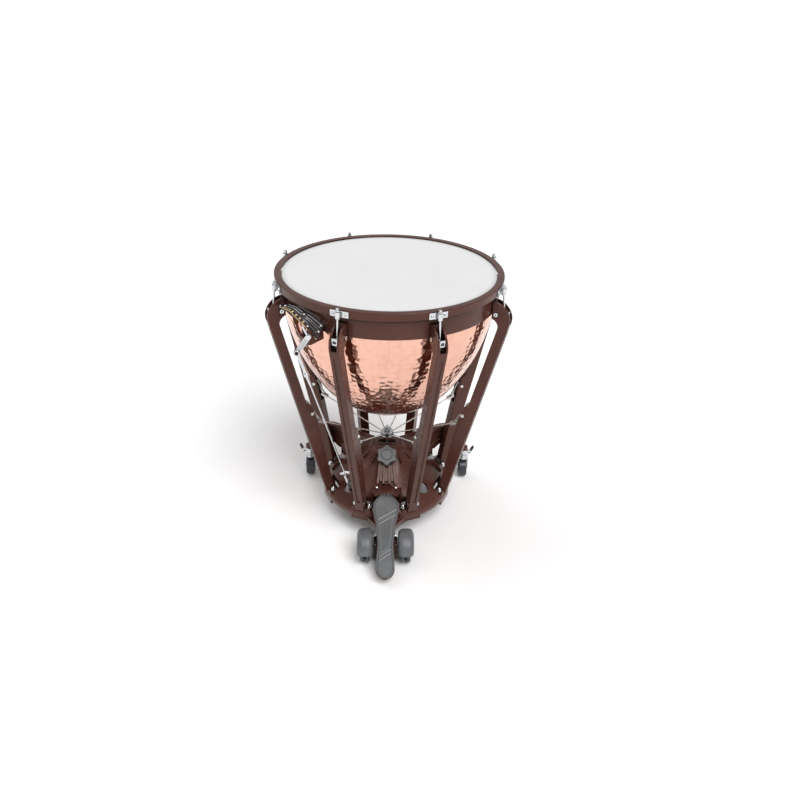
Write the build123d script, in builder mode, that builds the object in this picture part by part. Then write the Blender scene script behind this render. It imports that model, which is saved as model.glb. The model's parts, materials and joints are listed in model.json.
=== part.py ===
from build123d import *
import os
from math import atan2, cos, degrees, radians, sin

# Pedal timpano with a 26-inch hammered kettle: eight curved struts stand on a cast base and hold the
# support band that carries the kettle. A pedal pulls a spider of rods down, bell cranks in the struts
# pull the tension rods, and the counterhoop tightens the head.
# +X is the player's right, -Y the player's side, +Z up; the floor is z = 0.

os.makedirs("parts", exist_ok=True)

# ------------------------------------------------------------------ driving dimensions (mm)
AXIS_Y = 43.0          # the kettle's axis lies this far behind the middle of the footprint
EDGE_R = 330.0         # bearing edge of the kettle
KETTLE_R = 333.0       # kettle wall below the rim
HEAD_Z = 877.0         # playing surface
KETTLE_TOP_Z = 800.0   # where the kettle starts to curve in
KETTLE_BOTTOM_Z = 392.0
SHEET = 2.0            # copper thickness
BAND_R = 340.0         # outside of the support band
BAND_Z = (794.0, 852.0)
HOOP_R = 356.0
HOOP_LIP_R = 335.0
HOOP_Z = (856.0, 881.0)
STRUT_ANGLES = [22.5 + 45.0 * k for k in range(8)]
STRUT_W = 32.0
SLOT_W = 20.0          # rod slot in the head of a strut
POCKET_W = 18.0        # bell crank pocket
FOOT_Z = 112.0         # struts stand on the base here
FOOT_BOLT_R = 208.0
FOOT_BOLT_GAP = 25.0   # stud to strut centre line
ROD_TOP = (367.5, 880.0)
ROD_LOW = (374.0, 800.0)
CRANK_PIVOT = (270.0, 428.0)
CRANK_INNER = (244.0, 388.0)
CRANK_OUTER = (290.0, 434.0)
HUB_Z = 291.0
SPOKE_EYE_R = 17.0
DOME_TOP_Z = 252.0
RING_Z = 66.0
RING_R = 224.0
REAR_ARM_ANGLES = (31.3, 148.7)
REAR_STEM = (286.0, 159.0)
REAR_BOSS_Z = 104.0
REAR_BOSS_R = 14.0
REAR_WHEEL_R = 36.0
REAR_TRAIL = 22.0
FRONT_WHEEL_R = 52.0
FRONT_CASTER = (66.0, -319.0)
PEDAL_PIVOT = (-306.0, 84.0)
PEDAL_TILT = 24.0
LEVER_PIVOT = (-172.0, 66.0)
LEVER_FRONT = (-327.1, 56.7)
PEDAL_HEIGHT = (8.0, 16.0, 21.0)   # sole underside, sole top and pad top above the pedal pin
KNOB_TILT = 42.0
KNOB_AT = (-85.0, 248.0)
GAUGE_TOP = (-256.0, -339.0, 757.0)
GAUGE_LOW = (-122.0, -130.0, 150.0)
GAUGE_PIVOT = (-222.0, -345.0, 806.0)

DRUM_AXIS = Axis((0, AXIS_Y, 0), (0, 0, 1))


# ------------------------------------------------------------------ planes
def level(z):
    """Horizontal plane at height z, centred on the kettle's axis."""
    return Plane((0, AXIS_Y, z))


def radial(angle):
    """Upright plane through the kettle's axis: local x is the radius, local y the height."""
    turn = radians(angle)
    return Plane((0, AXIS_Y, 0), x_dir=(cos(turn), sin(turn), 0), z_dir=(sin(turn), -cos(turn), 0))


def upright(x):
    """Fore-and-aft plane at x: local x runs back from the kettle's axis, local y is the height."""
    return Plane((x, AXIS_Y, 0), x_dir=(0, 1, 0), z_dir=(1, 0, 0))


def facing(x, y, z, direction, across=(1, 0, 0)):
    """Plane at a point given from the kettle's axis, with its normal along direction."""
    return Plane((x, AXIS_Y + y, z), x_dir=across, z_dir=direction)


def run(angle, start, end):
    """Plane at start, a (radius, height) point of a radial plane, facing end; and the distance."""
    turn = radians(angle)
    outward = Vector(cos(turn), sin(turn), 0)
    tangent = Vector(-sin(turn), cos(turn), 0)
    here = Vector(0, AXIS_Y, 0) + outward * start[0] + Vector(0, 0, start[1])
    there = Vector(0, AXIS_Y, 0) + outward * end[0] + Vector(0, 0, end[1])
    return Plane(here, x_dir=tangent, z_dir=there - here), (there - here).length


def run3(start, end, across=(1, 0, 0)):
    """As run, between two points given from the kettle's axis."""
    here = Vector(start[0], AXIS_Y + start[1], start[2])
    there = Vector(end[0], AXIS_Y + end[1], end[2])
    return Plane(here, x_dir=across, z_dir=there - here), (there - here).length


def strut_outer_r(z):
    """Radius of a strut's outer face at height z, along its straight leg."""
    return 228.0 + (z - FOOT_Z) * (394.0 - 228.0) / (757.0 - FOOT_Z)


# ------------------------------------------------------------------ kettle, head and hoop
def kettle_side(inset):
    """Half profile points of the kettle below its rim, moved inward by inset."""
    points = []
    for r, z in ((KETTLE_R, KETTLE_TOP_Z), (320, 720), (292, 636), (250, 556), (187, 474), (92, 410)):
        slope = Vector(r / KETTLE_R**2, (z - KETTLE_TOP_Z) / 408.0**2).normalized()
        points.append((r - inset * slope.X, z - inset * slope.Y))
    points.append((0, KETTLE_BOTTOM_Z + inset))
    return points


with BuildPart() as bowl:
    with BuildSketch(radial(0)):
        with BuildLine():
            outside = Spline(*kettle_side(0), tangents=((0, -1), (-1, 0)))
            inside = Spline(*kettle_side(SHEET), tangents=((0, -1), (-1, 0)))
            Line(outside @ 1, inside @ 1)
            Polyline(
                inside @ 0,
                (KETTLE_R - 2.5, HEAD_Z - 27),
                (EDGE_R - 1, HEAD_Z - 9),
                (EDGE_R - 1.5, HEAD_Z - 1.3),
                (EDGE_R, HEAD_Z - 1.3),
                (EDGE_R + 1.2, HEAD_Z - 7),
                (KETTLE_R - 0.5, HEAD_Z - 22),
                (KETTLE_R - 0.5, BAND_Z[1] + SHEET),
                (BAND_R - 2, BAND_Z[1] + SHEET),
                (BAND_R - 2, BAND_Z[1]),
                (KETTLE_R, BAND_Z[1]),
                outside @ 0,
            )
        make_face()
    revolve(axis=DRUM_AXIS)
bowl.part.label = "bowl"
export_step(bowl.part, "parts/bowl.step")

with BuildPart() as support_band:
    with BuildSketch(radial(0)):
        with BuildLine():
            Polyline(
                (KETTLE_R + 0.5, BAND_Z[0]),
                (BAND_R - 1.5, BAND_Z[0]),
                (BAND_R, BAND_Z[0] + 1.5),
                (BAND_R, BAND_Z[1] - 5),
                (BAND_R - 1.5, BAND_Z[1]),
                (KETTLE_R + 0.5, BAND_Z[1]),
                close=True,
            )
        make_face()
    revolve(axis=DRUM_AXIS)
support_band.part.label = "support_band"
export_step(support_band.part, "parts/support_band.step")

with BuildPart() as drumhead:
    with BuildSketch(radial(0)):
        with BuildLine():
            Polyline(
                (0, HEAD_Z - 0.6),
                (EDGE_R + 1.4, HEAD_Z - 0.8),
                (HOOP_LIP_R - 2, HEAD_Z - 5),
                (HOOP_LIP_R - 1.8, HEAD_Z - 22),
                (HOOP_LIP_R - 0.8, HEAD_Z - 22),
                (HOOP_LIP_R - 1, HEAD_Z - 4),
                (EDGE_R + 1.8, HEAD_Z),
                (0, HEAD_Z),
                close=True,
            )
        make_face()
    revolve(axis=DRUM_AXIS)
drumhead.part.label = "drumhead"
export_step(drumhead.part, "parts/drumhead.step")

with BuildPart() as flesh_hoop:
    with BuildSketch(radial(0)):
        with Locations((HOOP_LIP_R + 7.5, HEAD_Z - 5)):
            RectangleRounded(9, 10, 2)
    revolve(axis=DRUM_AXIS)
flesh_hoop.part.label = "flesh_hoop"
export_step(flesh_hoop.part, "parts/flesh_hoop.step")

with BuildPart() as counterhoop:
    with BuildSketch(radial(0)) as hoop_profile:
        with BuildLine():
            Polyline(
                (HOOP_R - 6, HOOP_Z[0]),
                (HOOP_R, HOOP_Z[0]),
                (HOOP_R, HOOP_Z[1]),
                (HOOP_LIP_R, HOOP_Z[1]),
                (HOOP_LIP_R, HEAD_Z),
                (HOOP_R - 6, HEAD_Z),
                close=True,
            )
        make_face()
        fillet(hoop_profile.vertices().group_by(Axis.Z)[-1].sort_by(Axis.X)[-1], 3)
        fillet(hoop_profile.vertices().group_by(Axis.Z)[0], 1.5)
    revolve(axis=DRUM_AXIS)
counterhoop.part.label = "counterhoop"
export_step(counterhoop.part, "parts/counterhoop.step")

# ------------------------------------------------------------------ lugs, rods and their fasteners
# Each repeated piece is drawn once in the XZ plane, where x is the radius, and then placed round the axis.
LUG_Z = (859.0, 878.0)
LUG_HALF_ANGLE = 4.5
LUG_T = 3.5
LUG_FACE_R = HOOP_R + 0.2 + LUG_T
ROD_R = 3.0


def around(angle):
    """Place of a piece that was drawn in the XZ plane, turned to angle about the kettle's axis."""
    return Location((0, AXIS_Y, 0), (0, 0, angle))


def toward(start, end):
    """Plane at start, a (radius, height) point of the XZ plane, facing end; and the distance."""
    step = Vector(end[0] - start[0], 0, end[1] - start[1])
    return Plane((start[0], 0, start[1]), x_dir=(0, 1, 0), z_dir=step), step.length


def rod_r(z):
    """Radius at which the leaning tension rod crosses height z."""
    return ROD_TOP[0] + (ROD_LOW[0] - ROD_TOP[0]) * (ROD_TOP[1] - z) / (ROD_TOP[1] - ROD_LOW[1])


with BuildPart() as one_lug:
    with BuildSketch(Plane.XZ):
        with Locations((LUG_FACE_R - LUG_T / 2, sum(LUG_Z) / 2)):
            RectangleRounded(LUG_T, LUG_Z[1] - LUG_Z[0], 1)
    revolve(axis=Axis.Z, revolution_arc=LUG_HALF_ANGLE)
    mirror(about=Plane.XZ)
    with BuildSketch(Plane.XZ):
        with Locations(((HOOP_R + 2 + ROD_TOP[0]) / 2, sum(LUG_Z) / 2)):
            Rectangle(ROD_TOP[0] - HOOP_R - 2, 13)
    extrude(amount=4.5, both=True)
    boss_plane, reach = toward((rod_r(LUG_Z[1]), LUG_Z[1]), (rod_r(LUG_Z[0]), LUG_Z[0]))
    with BuildSketch(boss_plane):
        Circle(7.5)
    extrude(amount=reach)
    with BuildSketch(boss_plane.offset(-5)):
        Circle(ROD_R + 0.1)
    extrude(amount=reach + 10, mode=Mode.SUBTRACT)

with BuildPart() as hoop_lugs:
    for angle in STRUT_ANGLES:
        with Locations(around(angle)):
            add(one_lug.part)
hoop_lugs.part.label = "hoop_lugs"
export_step(hoop_lugs.part, "parts/hoop_lugs.step")

with BuildPart() as one_screw:
    screw_plane, head_h = toward((LUG_FACE_R, sum(LUG_Z) / 2), (LUG_FACE_R + 3, sum(LUG_Z) / 2))
    with BuildSketch(screw_plane):
        Circle(4.6)
    extrude(amount=head_h, taper=14)
    with BuildSketch(screw_plane.offset(head_h - 1)):
        Rectangle(6, 1.2)
        Rectangle(1.2, 6)
    extrude(amount=2, mode=Mode.SUBTRACT)

with BuildPart() as lug_screws:
    for angle in STRUT_ANGLES:
        for side in (-3.1, 3.1):
            with Locations(around(angle + side)):
                add(one_screw.part)
lug_screws.part.label = "lug_screws"
export_step(lug_screws.part, "parts/lug_screws.step")

with BuildPart() as one_rod:
    rod_plane, length = toward(ROD_TOP, (rod_r(806), 806))
    with BuildSketch(rod_plane):
        Circle(ROD_R)
    extrude(amount=length)
    with BuildSketch(rod_plane):
        Circle(6.5)
    extrude(amount=-2.5)
    with BuildSketch(rod_plane.offset(-2.5)):
        RectangleRounded(8, 8, 1)
    extrude(amount=-6)

with BuildPart() as tension_rods:
    for angle in STRUT_ANGLES:
        with Locations(around(angle)):
            add(one_rod.part)
tension_rods.part.label = "tension_rods"
export_step(tension_rods.part, "parts/tension_rods.step")

CLEVIS_R = (371.5, 391.5)
CLEVIS_Z = (784.0, 806.0)
PULL_TOP = (382.0, CLEVIS_Z[0])
PULL_LOW = (290.0, 446.0)
YOKE_HALF = 8.0
CRANK_T = 8.0
YOKE_PIN_R = 2.5

with BuildPart() as one_pull_rod:
    with BuildSketch(Plane.XZ):
        with Locations((sum(CLEVIS_R) / 2, sum(CLEVIS_Z) / 2)):
            RectangleRounded(CLEVIS_R[1] - CLEVIS_R[0], CLEVIS_Z[1] - CLEVIS_Z[0], 3)
    extrude(amount=SLOT_W / 2 - 1.5, both=True)
    window, depth = toward((384, sum(CLEVIS_Z) / 2), (400, sum(CLEVIS_Z) / 2))
    with BuildSketch(window):
        RectangleRounded(11, 9, 1.5)
    extrude(amount=depth, mode=Mode.SUBTRACT)
    rod_plane, length = toward(PULL_TOP, PULL_LOW)
    with BuildSketch(rod_plane.offset(-1)):
        Circle(ROD_R)
    extrude(amount=length + 1)
    # yoke over the tip of the bell crank, with its pin
    with BuildSketch(Plane.XZ):
        with Locations((CRANK_OUTER[0], PULL_LOW[1] - 7)):
            Rectangle(9, 20)
    extrude(amount=YOKE_HALF, both=True)
    with BuildSketch(Plane.XZ):
        with Locations((CRANK_OUTER[0], CRANK_OUTER[1] - 3)):
            Rectangle(10, 22)
    extrude(amount=CRANK_T / 2 + 1, both=True, mode=Mode.SUBTRACT)
    with BuildSketch(Plane.XZ):
        with Locations(CRANK_OUTER):
            Circle(YOKE_PIN_R)
    extrude(amount=YOKE_HALF, both=True)

with BuildPart() as pull_rods:
    for angle in STRUT_ANGLES:
        with Locations(around(angle)):
            add(one_pull_rod.part)
pull_rods.part.label = "pull_rods"
export_step(pull_rods.part, "parts/pull_rods.step")

# ------------------------------------------------------------------ struts and bell cranks
PIVOT_PIN_R = 4.0
STRUT_BOLT = (353.0, 797.0)
BORE_R = 7.0
GROOVE_Z = (150.0, 742.0)

with BuildPart() as one_strut:
    with BuildSketch(Plane.XZ):
        with BuildLine():
            Line((228, FOOT_Z), (394, 757))
            Spline(
                (394, 757), (398, 778), (389, 809), (373, 827), (349, 838),
                tangents=((0.25, 0.97), (-0.95, 0.3)),
            )
            Polyline((349, 838), (BAND_R + 0.4, 838), (BAND_R + 0.4, 782))
            Spline(
                (BAND_R + 0.4, 782), (355, 772), (360.5, 752),
                tangents=((0.6, -0.2), (-0.25, -0.97)),
            )
            Polyline((360.5, 752), (288, 472), (272, 458), (256, 415), (199, FOOT_Z), (228, FOOT_Z))
        make_face()
    extrude(amount=STRUT_W / 2, both=True)
    fillet(one_strut.faces().sort_by(SortBy.AREA)[-2:].edges(), 2)
    # foot flange for the two studs
    with BuildSketch(Plane.XZ):
        with Locations((FOOT_BOLT_R, FOOT_Z + 3)):
            Rectangle(26, 6)
    extrude(amount=FOOT_BOLT_GAP + 8, both=True)
    # slot in which the tension rod and its clevis run
    with BuildSketch(Plane.XZ):
        with BuildLine():
            Polyline((349, 850), (415, 850), (415, 768), (379, 768), (366, 784), (353, 812), close=True)
        make_face()
    extrude(amount=SLOT_W / 2, both=True, mode=Mode.SUBTRACT)
    # bore for the pull rod, from the slot to the crank pocket
    bore_plane, bore_length = toward((386, 800), PULL_LOW)
    with BuildSketch(bore_plane):
        Circle(BORE_R)
    extrude(amount=bore_length, mode=Mode.SUBTRACT)
    # pocket for the bell crank, open towards the kettle's axis
    with BuildSketch(Plane.XZ):
        with BuildLine():
            Polyline(
                (225, 364), (276, 364), (299.5, 424), (299.5, 450), (284, 452), (262, 470), (225, 470),
                close=True,
            )
        make_face()
    extrude(amount=POCKET_W / 2, both=True, mode=Mode.SUBTRACT)
    # shallow groove down the outer face
    with BuildSketch(Plane.XZ):
        with BuildLine():
            Polyline(
                (strut_outer_r(GROOVE_Z[0]) - 3, GROOVE_Z[0]),
                (strut_outer_r(GROOVE_Z[0]) + 9, GROOVE_Z[0] - 4),
                (strut_outer_r(GROOVE_Z[1]) + 9, GROOVE_Z[1] + 4),
                (strut_outer_r(GROOVE_Z[1]) - 3, GROOVE_Z[1]),
                close=True,
            )
        make_face()
    extrude(amount=6, both=True, mode=Mode.SUBTRACT)
    # bearing for the crank's pin, seats for the band bolts and holes for the foot studs
    with BuildSketch(Plane.XZ):
        with Locations(CRANK_PIVOT):
            Circle(PIVOT_PIN_R + 0.06)
    extrude(amount=STRUT_W, both=True, mode=Mode.SUBTRACT)
    for side in (-1, 1):
        with BuildSketch(Plane.XZ.offset(side * (STRUT_W / 2 - 4))):
            with Locations(STRUT_BOLT):
                Circle(8.5)
        extrude(amount=side * 10, mode=Mode.SUBTRACT)
        with BuildSketch(Plane.XY.offset(FOOT_Z - 1)):
            with Locations((FOOT_BOLT_R, side * FOOT_BOLT_GAP)):
                Circle(4.2)
        extrude(amount=9, mode=Mode.SUBTRACT)

with BuildPart() as one_crank:
    with BuildSketch(Plane.XZ):
        with Locations(CRANK_PIVOT):
            Circle(9)
        with Locations(CRANK_INNER):
            Circle(7.5)
        with Locations(CRANK_OUTER):
            Circle(5.6)
        make_hull()
        with Locations(CRANK_OUTER):
            Circle(4, mode=Mode.SUBTRACT)
        with Locations(CRANK_INNER):
            Circle(4.6, mode=Mode.SUBTRACT)
    extrude(amount=CRANK_T / 2, both=True)
    with BuildSketch(Plane.XZ):
        with Locations(CRANK_PIVOT):
            Circle(PIVOT_PIN_R)
    extrude(amount=STRUT_W / 2 + 2.5, both=True)
    for side in (-1, 1):
        with BuildSketch(Plane.XZ.offset(side * (STRUT_W / 2 + 0.4))):
            with Locations(CRANK_PIVOT):
                Circle(6.5)
        extrude(amount=side * 3, taper=20)

with BuildPart() as one_spider_rod:
    rod_start = (SPOKE_EYE_R, HUB_Z)
    rod_plane, length = toward(rod_start, CRANK_INNER)
    with BuildSketch(rod_plane):
        Circle(2)
    extrude(amount=length - 12)
    with BuildSketch(Plane.XZ):
        with Locations(rod_start):
            Circle(3.8)
    extrude(amount=3, both=True)
    with BuildSketch(rod_plane.offset(length - 20)):
        RectangleRounded(2 * YOKE_HALF, 9, 2)
    extrude(amount=25)
    with BuildSketch(rod_plane.offset(length - 10)):
        Rectangle(CRANK_T + 2, 12)
    extrude(amount=30, mode=Mode.SUBTRACT)
    with BuildSketch(Plane.XZ):
        with Locations(CRANK_INNER):
            Circle(YOKE_PIN_R)
    extrude(amount=YOKE_HALF, both=True)

for number, angle in enumerate(STRUT_ANGLES, start=1):
    with BuildPart() as strut:
        with Locations(around(angle)):
            add(one_strut.part)
    strut.part.label = f"strut_{number}"
    export_step(strut.part, f"parts/strut_{number}.step")

    with BuildPart() as bell_crank:
        with Locations(around(angle)):
            add(one_crank.part)
    bell_crank.part.label = f"bell_crank_{number}"
    export_step(bell_crank.part, f"parts/bell_crank_{number}.step")

    with BuildPart() as spider_rod:
        with Locations(around(angle)):
            add(one_spider_rod.part)
    spider_rod.part.label = f"spider_rod_{number}"
    export_step(spider_rod.part, f"parts/spider_rod_{number}.step")

with BuildPart() as strut_bolts:
    for angle in STRUT_ANGLES:
        for side in (-1, 1):
            seat = radial(angle).offset(side * (STRUT_W / 2 - 3.9))
            with BuildSketch(seat):
                with Locations(STRUT_BOLT):
                    Circle(6.5)
            extrude(amount=side * 6)
            with BuildSketch(seat.offset(side * 3)):
                with Locations(STRUT_BOLT):
                    RegularPolygon(3, 6)
            extrude(amount=side * 4, mode=Mode.SUBTRACT)
strut_bolts.part.label = "strut_bolts"
export_step(strut_bolts.part, "parts/strut_bolts.step")

with BuildPart() as one_nut:
    with BuildSketch(Plane.XY.offset(FOOT_Z + 6.1)):
        with Locations((FOOT_BOLT_R, FOOT_BOLT_GAP)):
            RegularPolygon(7, 6)
    extrude(amount=7)
    with BuildSketch(Plane.XY.offset(FOOT_Z + 13.1)):
        with Locations((FOOT_BOLT_R, FOOT_BOLT_GAP)):
            Circle(6)
    extrude(amount=5, taper=25)
    mirror(about=Plane.XZ)

with BuildPart() as foot_nuts:
    for angle in STRUT_ANGLES:
        with Locations(around(angle)):
            add(one_nut.part)
foot_nuts.part.label = "foot_nuts"
export_step(foot_nuts.part, "parts/foot_nuts.step")

# ------------------------------------------------------------------ cast base
ARM_HALF = 30.0            # front channel, half width
CHANNEL_HALF = 20.0
CHANNEL_Z = (34.0, 80.0)
MOUTH_HALF = 45.0          # arch over the pedal's toe
ARCH_Z = 122.0
ARM_FRONT = -370.0
SHELL = 9.0

with BuildPart() as base_casting:
    # dished dome with its thick rim
    with BuildSketch(radial(0)):
        with BuildLine():
            Line((0, DOME_TOP_Z), (44, DOME_TOP_Z))
            Spline(
                (44, DOME_TOP_Z), (70, 236), (140, 176), (190, 138), (214, 114), (RING_R, 96),
                tangents=((1, 0), (0.1, -1)),
            )
            Spline((RING_R, 96), (220, 80), (202, RING_Z), tangents=((0, -1), (-1, -0.2)))
            Polyline(
                (202, RING_Z), (184, RING_Z), (184, 80), (200, 94), (196, 110), (182, 130), (134, 165),
                (66, 224), (42, DOME_TOP_Z - SHELL), (0, DOME_TOP_Z - SHELL), (0, DOME_TOP_Z),
            )
        make_face()
    revolve(axis=DRUM_AXIS)
    # two arms that arch out to the rear casters
    for angle in REAR_ARM_ANGLES:
        with BuildSketch(radial(angle)):
            with BuildLine():
                Line((30, 240), (60, 250))
                Spline((60, 250), (170, 251), (250, 248), (300, 214), (322, 128), tangents=((1, 0), (0, -1)))
                Line((322, 128), (288, 128))
                Spline(
                    (288, 128), (274, 168), (231, 189), (200, 176), (186, 146),
                    tangents=((0, 1), (-0.2, -1)),
                )
                Polyline((186, 146), (130, 176), (60, 232), (30, 240))
            make_face()
        extrude(amount=13, both=True)
        for side in (-1, 1):
            with BuildSketch(radial(angle).offset(side * 8)):
                with BuildLine():
                    Line((110, 236), (180, 240))
                    Spline((180, 240), (244, 236), (284, 206), (300, 140), tangents=((1, 0), (0, -1)))
                    Line((300, 140), (292, 140))
                    Spline((292, 140), (278, 178), (234, 204), (180, 192), tangents=((0, 1), (-1, -0.4)))
                    Line((180, 192), (110, 236))
                make_face()
            extrude(amount=side * 12, mode=Mode.SUBTRACT)
    for side in (-1, 1):
        with BuildSketch(level(REAR_BOSS_Z)):
            with Locations((side * REAR_STEM[0], REAR_STEM[1])):
                Circle(REAR_BOSS_R)
        extrude(amount=34)
    # pads for the strut feet, with a pocket above each
    for angle in STRUT_ANGLES:
        with BuildSketch(radial(angle)):
            with Locations((203, 91)):
                Rectangle(34, 42)
        extrude(amount=35, both=True)
    for angle in STRUT_ANGLES:
        with BuildSketch(radial(angle)):
            with Locations((213, FOOT_Z + 30)):
                Rectangle(56, 60)
        extrude(amount=36, both=True, mode=Mode.SUBTRACT)
    # front channel under the pedal, with its flare into the rim
    with BuildSketch(upright(0)):
        with BuildLine():
            Polyline(
                (-150, RING_Z), (-150, CHANNEL_Z[0] + 20), (-200, CHANNEL_Z[0]), (ARM_FRONT, CHANNEL_Z[0]),
                (ARM_FRONT, 54), (-316, 78), (-310, CHANNEL_Z[1]), (-150, CHANNEL_Z[1]), close=True,
            )
        make_face()
    extrude(amount=ARM_HALF, both=True)
    with BuildSketch(level(RING_Z)):
        with BuildLine():
            Line((-104, -186), (104, -186))
            ThreePointArc((104, -186), (50, -226), (ARM_HALF, -290))
            Line((ARM_HALF, -290), (-ARM_HALF, -290))
            ThreePointArc((-ARM_HALF, -290), (-50, -226), (-104, -186))
        make_face()
    extrude(amount=18)
    # arch round the pedal's toe
    with BuildSketch(facing(0, -192, ARCH_Z, (0, 1, 0))):
        Circle(MOUTH_HALF + 6)
        with Locations((0, -21)):
            Rectangle(2 * MOUTH_HALF + 12, 42)
    extrude(amount=60)
    with BuildSketch(facing(0, -240, ARCH_Z, (0, 1, 0))):
        Rectangle(2 * MOUTH_HALF, 68)
        Circle(MOUTH_HALF)
    extrude(amount=240 - 142, mode=Mode.SUBTRACT)
    for angle in STRUT_ANGLES[5:7]:
        with BuildSketch(radial(angle)):
            with Locations((213, FOOT_Z + 30)):
                Rectangle(56, 60)
        extrude(amount=36, both=True, mode=Mode.SUBTRACT)
    # plinth on the dome's front, under the tension knob, with its four ridges
    slope = Vector(0, -sin(radians(KNOB_TILT)), cos(radians(KNOB_TILT)))
    plinth = facing(0, -104, 206, slope)
    with BuildSketch(plinth.offset(-6)):
        RectangleRounded(58, 86, 10)
    extrude(amount=14)
    with BuildSketch(plinth.offset(6)):
        for x, splay in ((-26, -5), (-9, -2), (9, 2), (26, 5)):
            with Locations((x, -14)):
                RectangleRounded(8, 78, 3.5, rotation=splay)
    extrude(amount=8)
    # oval window at the top with a raised lip
    with BuildSketch(level(DOME_TOP_Z - 2)):
        SlotOverall(72, 38)
    extrude(amount=5)
    with BuildSketch(level(DOME_TOP_Z - 30)):
        SlotOverall(62, 27)
    extrude(amount=50, mode=Mode.SUBTRACT)
    # short ribs from the top boss over the dome
    for angle in (-150, -122, -58, -30, 0, 180):
        rib_plane, length = run(angle, (40, 250), (96, 218))
        with BuildSketch(rib_plane):
            RectangleRounded(5, 12, 2)
        extrude(amount=length)
    # round windows between the front strut feet
    for angle in (-45, -135, 0, 180, 90):
        window, depth = run(angle, (230, 214), (130, 94))
        with BuildSketch(window):
            Circle(22.5)
        extrude(amount=depth, mode=Mode.SUBTRACT)
    # inside of the channel: the transfer lever swings here, and the dome is open above it
    with BuildSketch(upright(0)):
        with BuildLine():
            Polyline(
                (ARM_FRONT + 8, CHANNEL_Z[0] + 7), (-206, CHANNEL_Z[0] + 7), (-160, 48), (-120, 30),
                (-120, 150), (-143, 150), (-143, 100), (ARM_FRONT + 8, 100), close=True,
            )
        make_face()
    extrude(amount=CHANNEL_HALF, both=True, mode=Mode.SUBTRACT)
    # ears for the pedal pin
    for side in (-1, 1):
        with BuildSketch(upright(side * (CHANNEL_HALF + ARM_HALF) / 2)):
            with Locations(PEDAL_PIVOT):
                Circle(7)
                with Locations((0, -5)):
                    Rectangle(14, 10)
        extrude(amount=(ARM_HALF - CHANNEL_HALF) / 2, both=True)
    with BuildSketch(upright(0)):
        with Locations(PEDAL_PIVOT):
            Circle(4.05)
        with Locations(LEVER_PIVOT):
            Circle(4.05)
    extrude(amount=60, both=True, mode=Mode.SUBTRACT)
    # sockets of the rear caster stems, the knob's screw and the foot studs
    for side in (-1, 1):
        with BuildSketch(level(REAR_BOSS_Z - 1)):
            with Locations((side * REAR_STEM[0], REAR_STEM[1])):
                Circle(7.05)
        extrude(amount=31, mode=Mode.SUBTRACT)
    with BuildSketch(facing(0, KNOB_AT[0], KNOB_AT[1], slope)):
        Circle(5.06)
    extrude(amount=-70, mode=Mode.SUBTRACT)
base_casting.part.label = "base_casting"
export_step(base_casting.part, "parts/base_casting.step")

# ------------------------------------------------------------------ spider hub and draw rod
DRAW_R = 4.0

with BuildPart() as spider_hub:
    with BuildSketch(level(274)):
        Circle(9)
    extrude(amount=27)
    for z, r in ((HUB_Z - 7, 24), (HUB_Z + 4.6, 21)):
        with BuildSketch(level(z)):
            Circle(r)
        extrude(amount=2.4)
    for z in (265, 301):
        with BuildSketch(level(z)):
            RegularPolygon(11, 6)
        extrude(amount=9)
    with BuildSketch(level(260)):
        Circle(DRAW_R + 0.05)
    extrude(amount=60, mode=Mode.SUBTRACT)
spider_hub.part.label = "spider_hub"
export_step(spider_hub.part, "parts/spider_hub.step")

with BuildPart() as draw_rod:
    with BuildSketch(level(80)):
        Circle(DRAW_R)
    extrude(amount=238)
    # fork over the transfer lever, with its pin
    with BuildSketch(level(LEVER_PIVOT[1] - 11)):
        RectangleRounded(26, 20, 4)
    extrude(amount=32)
    with BuildSketch(level(LEVER_PIVOT[1] - 12)):
        Rectangle(15, 22)
    extrude(amount=26, mode=Mode.SUBTRACT)
    with BuildSketch(upright(0)):
        with Locations((0, LEVER_PIVOT[1])):
            Circle(4)
    extrude(amount=12, both=True)
    # arm out to the gauge rod, ending in an eye
    arm_root, arm_tip = (-8, -8.5, 104), (GAUGE_LOW[0] + 5, GAUGE_LOW[1] + 9, GAUGE_LOW[2] - 18)
    arm_plane, reach = run3(arm_root, arm_tip, across=(0, 0, 1))
    with BuildSketch(arm_plane.offset(-6)):
        RectangleRounded(12, 6, 2)
    extrude(amount=reach + 6)
    with BuildSketch(level(97)):
        Circle(13)
    extrude(amount=14)
    with BuildSketch(facing(GAUGE_LOW[0], GAUGE_LOW[1], GAUGE_LOW[2], (0, 1, 0))):
        Circle(7.5)
        with Locations((4, 10)):
            Rectangle(11, 16, rotation=-18)
        Circle(4.6, mode=Mode.SUBTRACT)
    extrude(amount=2.6, both=True)
draw_rod.part.label = "draw_rod"
export_step(draw_rod.part, "parts/draw_rod.step")

# ------------------------------------------------------------------ pedal, transfer lever and pins
PIN_R = 4.0
LUG_X = 16.5
LINK_PIN = (-26.0, -18.0)      # the pedal's pin in the transfer lever, along and above the sole


def sole_outline(margin):
    """Outline of the sole, grown by margin: x is sideways, y towards the toe."""
    toe, waist, heel = 43.5 + margin, 26 + margin, 30 + margin
    with BuildLine() as outline:
        side = Spline((toe, 92), (waist + 5, 20), (waist, -44), (heel, -120), tangents=((0, -1), (0, -1)))
        ThreePointArc((0, 145 + margin), (toe * 0.78, 126 + margin * 0.7), side @ 0)
        ThreePointArc(side @ 1, (heel * 0.7, -149 - margin * 0.7), (0, -160 - margin))
        mirror(about=Plane.YZ)
    return outline.line


def pedal_plane(height):
    """Plane parallel to the sole, height above the pedal's pin; local y points to the toe."""
    tilt = radians(PEDAL_TILT)
    normal = Vector(0, -sin(tilt), cos(tilt))
    pin = Vector(0, AXIS_Y + PEDAL_PIVOT[0], PEDAL_PIVOT[1])
    return Plane(pin + normal * height, x_dir=(1, 0, 0), z_dir=normal)


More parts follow.
